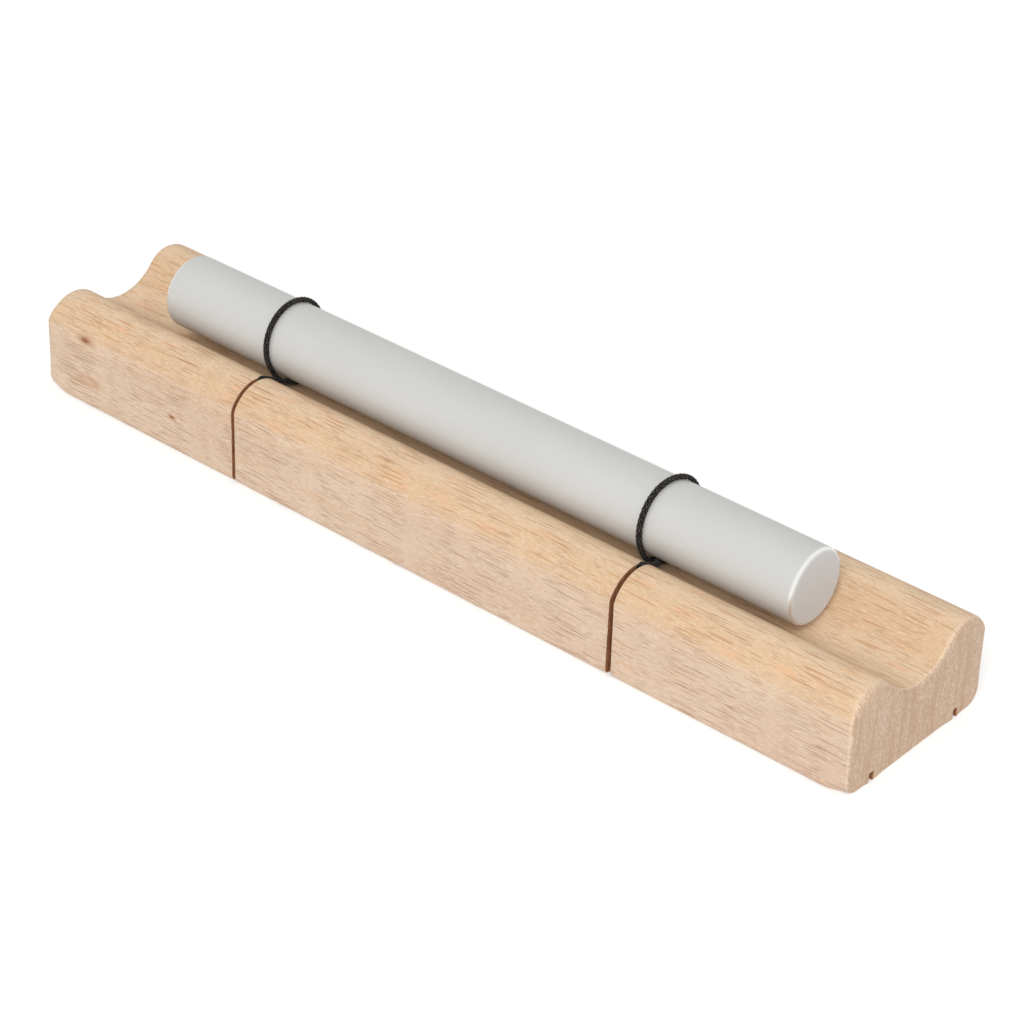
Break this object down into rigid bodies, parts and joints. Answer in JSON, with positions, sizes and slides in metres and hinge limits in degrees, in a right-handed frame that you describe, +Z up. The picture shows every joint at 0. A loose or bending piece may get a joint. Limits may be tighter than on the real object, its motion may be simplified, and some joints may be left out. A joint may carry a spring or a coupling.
{
  "type": "bar chime",
  "caption": "Round metal bar chime that hangs in an elastic cord over the trough of a wooden block, to be struck with a mallet.",
  "frame": {"origin": "middle of the block's underside, on the surface that it stands on", "axes": "+X along the bar, +Z up; -Y is the front side"},
  "size_m": [0.201, 0.04, 0.0319],
  "materials": {
    "beech": "fine-sanded, lightly oiled, fleck grain along the block",
    "satin_aluminium": "satin anodised, with a bright broken edge at each end",
    "elastic_cord": "fine black braid over elastic, matte"
  },
  "bodies": {
    "base": {"wood_base": "beech", "left_front_cord_span": "elastic_cord", "left_rear_cord_span": "elastic_cord", "right_front_cord_span": "elastic_cord", "right_rear_cord_span": "elastic_cord", "front_cord_run": "elastic_cord", "rear_left_cord_run": "elastic_cord", "rear_right_cord_run": "elastic_cord", "cord_knot": "elastic_cord"},
    "cord_loops": {"left_cord_loop": "elastic_cord", "right_cord_loop": "elastic_cord"},
    "bar": {"chime_bar": "satin_aluminium"}
  },
  "joints": [
    {"name": "bar_bounce", "type": "slide", "parent": "base", "child": "cord_loops", "axis": [0, 0, 1], "range_m": [-0.0002, 0.003], "stiffness_N_per_m": 500, "springref_m": 0.00146, "deforming": ["left_front_cord_span", "left_rear_cord_span", "right_front_cord_span", "right_rear_cord_span"]},
    {"name": "bar_roll", "type": "hinge", "parent": "cord_loops", "child": "bar", "pos_m": [-0.0007, 0, 0.02317], "axis": [1, 0, 0], "continuous": true}
  ]
}
